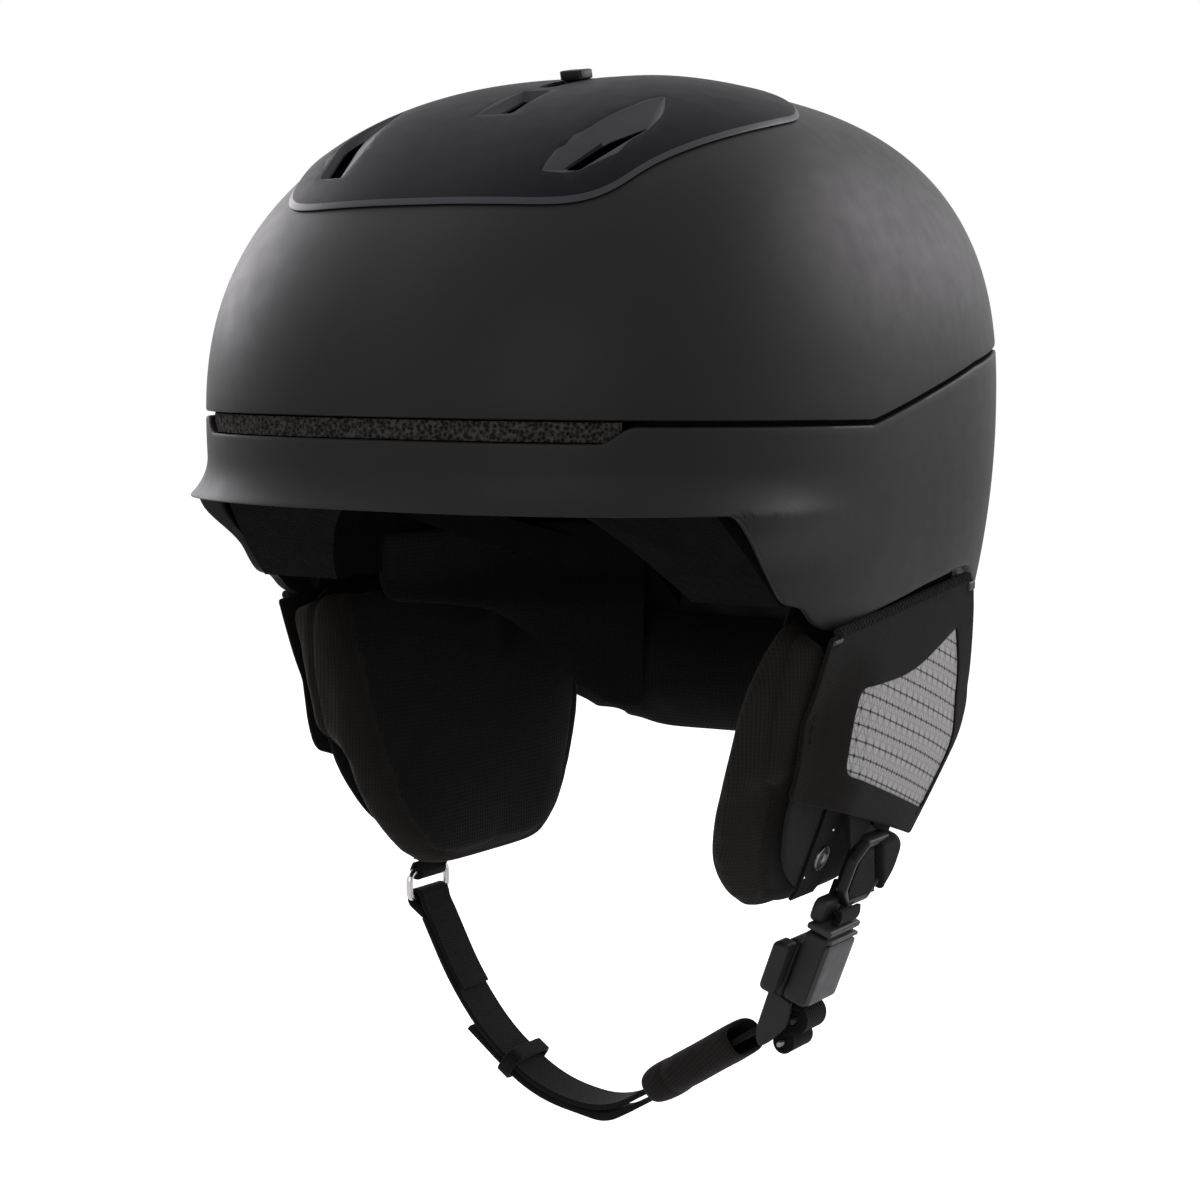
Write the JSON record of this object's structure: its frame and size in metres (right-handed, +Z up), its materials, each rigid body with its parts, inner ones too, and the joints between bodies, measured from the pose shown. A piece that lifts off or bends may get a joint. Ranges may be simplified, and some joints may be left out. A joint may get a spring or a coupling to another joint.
{
  "type": "ski helmet",
  "caption": "Full ski helmet with two-part shell, foam and slip liners, sliding crown vents, dial fit band, hinged soft ear pads, strap dividers, magnetic side buckle and chin strap.",
  "frame": {"origin": "middle of the head opening, at the level of the seam between the two shells", "axes": "+Z up through the crown, -Y forward to the brim, +X to the wearer's left"},
  "size_m": [0.22, 0.3043, 0.3538],
  "materials": {
    "shell": "fine matte, in-moulded outer shell",
    "top_plate": "satin crown plate with a bevelled edge",
    "foam": null,
    "filter_foam": "open-cell foam, mottled",
    "slip_liner": "thin low-friction sheet",
    "comfort": "brushed lining over foam",
    "moulded": "moulded small part, satin",
    "band": "flexible moulded band",
    "steel": "bright wire and pins",
    "dark_steel": "dark plated snap",
    "magnet": "plated magnet, hidden",
    "ear_cover": "knitted cover over foam",
    "backing": "smooth sewn backing",
    "flap": "bonded fabric flap",
    "window": "pale coated mesh with a fine grid",
    "webbing": "flat woven webbing",
    "buckle_body": "moulded buckle",
    "buckle_face": "lighter grey face plate",
    "divider": "moulded strap divider",
    "fleece": "soft sleeve under the chin"
  },
  "bodies": {
    "helmet": {"upper_shell": "shell", "lower_shell": "shell", "top_plate": "top_plate", "impact_foam": "foam", "brim_filter": "filter_foam", "slip_liner": "slip_liner", "slip_anchors": "moulded", "brow_pad": "comfort", "crown_pad": "comfort", "nape_pad": "comfort", "shutter_guides": "moulded", "fit_band": "band", "cradle_rail": "moulded", "strap_hangers_left": "moulded", "strap_hangers_right": "moulded", "goggle_clip_base": "moulded", "goggle_clip_pin": "steel"},
    "shutter": {"vent_shutter": "moulded", "vent_knob": "moulded"},
    "cradle": {"rear_cradle": "moulded", "dial_cover": "moulded", "dial_axle": "steel"},
    "dial": {"fit_dial": "moulded", "dial_pinion": "moulded"},
    "arm_left": {"band_arm_left": "band"},
    "arm_right": {"band_arm_right": "band"},
    "clip": {"goggle_clip": "moulded"},
    "ear_left": {"ear_pad_left": "ear_cover", "ear_backing_left": "backing", "ear_flap_left": "flap", "ear_window_left": "window", "front_strap_left": "webbing", "rear_strap_left": "webbing", "divider_web_left": "webbing", "strap_divider_left": "divider", "strap_snap_left": "dark_steel", "lower_strap_left": "webbing", "buckle_socket": "buckle_body", "buckle_face": "buckle_face", "socket_magnet": "magnet"},
    "ear_right": {"ear_pad_right": "ear_cover", "ear_backing_right": "backing", "ear_flap_right": "flap", "ear_window_right": "window", "front_strap_right": "webbing", "rear_strap_right": "webbing", "divider_web_right": "webbing", "strap_divider_right": "divider", "strap_snap_right": "dark_steel"},
    "ring_link": {"lower_strap_right": "webbing"},
    "chin": {"strap_ring": "steel", "ring_loop": "webbing", "chin_strap": "webbing", "strap_tail": "webbing", "buckle_slide": "buckle_body", "slide_magnet": "magnet", "adjuster_web": "webbing"},
    "keeper": {"strap_keeper": "moulded"},
    "sleeve": {"chin_sleeve": "fleece"}
  },
  "joints": [
    {"name": "vent_slide", "type": "hinge", "parent": "helmet", "child": "shutter", "pos_m": [0, -0.007, -0.08106], "axis": [1, 0, 0], "range_deg": [-4.2, 4.2]},
    {"name": "cradle_height", "type": "slide", "parent": "helmet", "child": "cradle", "axis": [0, 0, 1], "range_m": [-0.008, 0.008]},
    {"name": "fit_dial_turn", "type": "hinge", "parent": "cradle", "child": "dial", "pos_m": [0, 0.0998, -0.09], "axis": [0, 1, 0], "range_deg": [-90, 90]},
    {"name": "band_arm_left_slide", "type": "slide", "parent": "cradle", "child": "arm_left", "axis": [1, 0, 0], "range_m": [-0.008, 0.008]},
    {"name": "band_arm_right_slide", "type": "slide", "parent": "cradle", "child": "arm_right", "axis": [-1, 0, 0], "range_m": [-0.008, 0.008]},
    {"name": "goggle_clip_hinge", "type": "hinge", "parent": "helmet", "child": "clip", "pos_m": [0, 0.14164, -0.017], "axis": [1, 0, 0], "range_deg": [0, 100]},
    {"name": "ear_left_hinge", "type": "hinge", "parent": "helmet", "child": "ear_left", "pos_m": [0.10303, 0, -0.057], "axis": [0, -0.9941, -0.1084], "range_deg": [0, 10], "stiffness_Nm_per_rad": 0.6, "springref_deg": -1.26},
    {"name": "ear_right_hinge", "type": "hinge", "parent": "helmet", "child": "ear_right", "pos_m": [-0.10303, 0, -0.057], "axis": [0, 0.9941, 0.1084], "range_deg": [0, 10], "stiffness_Nm_per_rad": 0.6, "springref_deg": -1.26},
    {"name": "ring_link_hinge", "type": "hinge", "parent": "ear_right", "child": "ring_link", "pos_m": [-0.0814, 0, -0.1572], "axis": [0, 0.9941, 0.1084], "range_deg": [-10, 0]},
    {"name": "chin_strap_swing", "type": "hinge", "parent": "ring_link", "child": "chin", "pos_m": [-0.07703, -0.01, -0.1685], "axis": [0, 0, -1], "range_deg": [0, 60]},
    {"name": "strap_keeper_slide", "type": "slide", "parent": "chin", "child": "keeper", "axis": [0.8175, 0, -0.576], "range_m": [-0.004, 0.004]},
    {"name": "chin_sleeve_slide", "type": "slide", "parent": "chin", "child": "sleeve", "axis": [-0.8351, 0, -0.5501], "range_m": [0, 0.008]}
  ],
  "couplings": [
    {"joint": "band_arm_left_slide", "follows": "fit_dial_turn", "m_per_rad": 0.005},
    {"joint": "band_arm_right_slide", "follows": "fit_dial_turn", "m_per_rad": 0.005},
    {"joint": "ring_link_hinge", "follows": "ear_right_hinge", "ratio": -1}
  ]
}
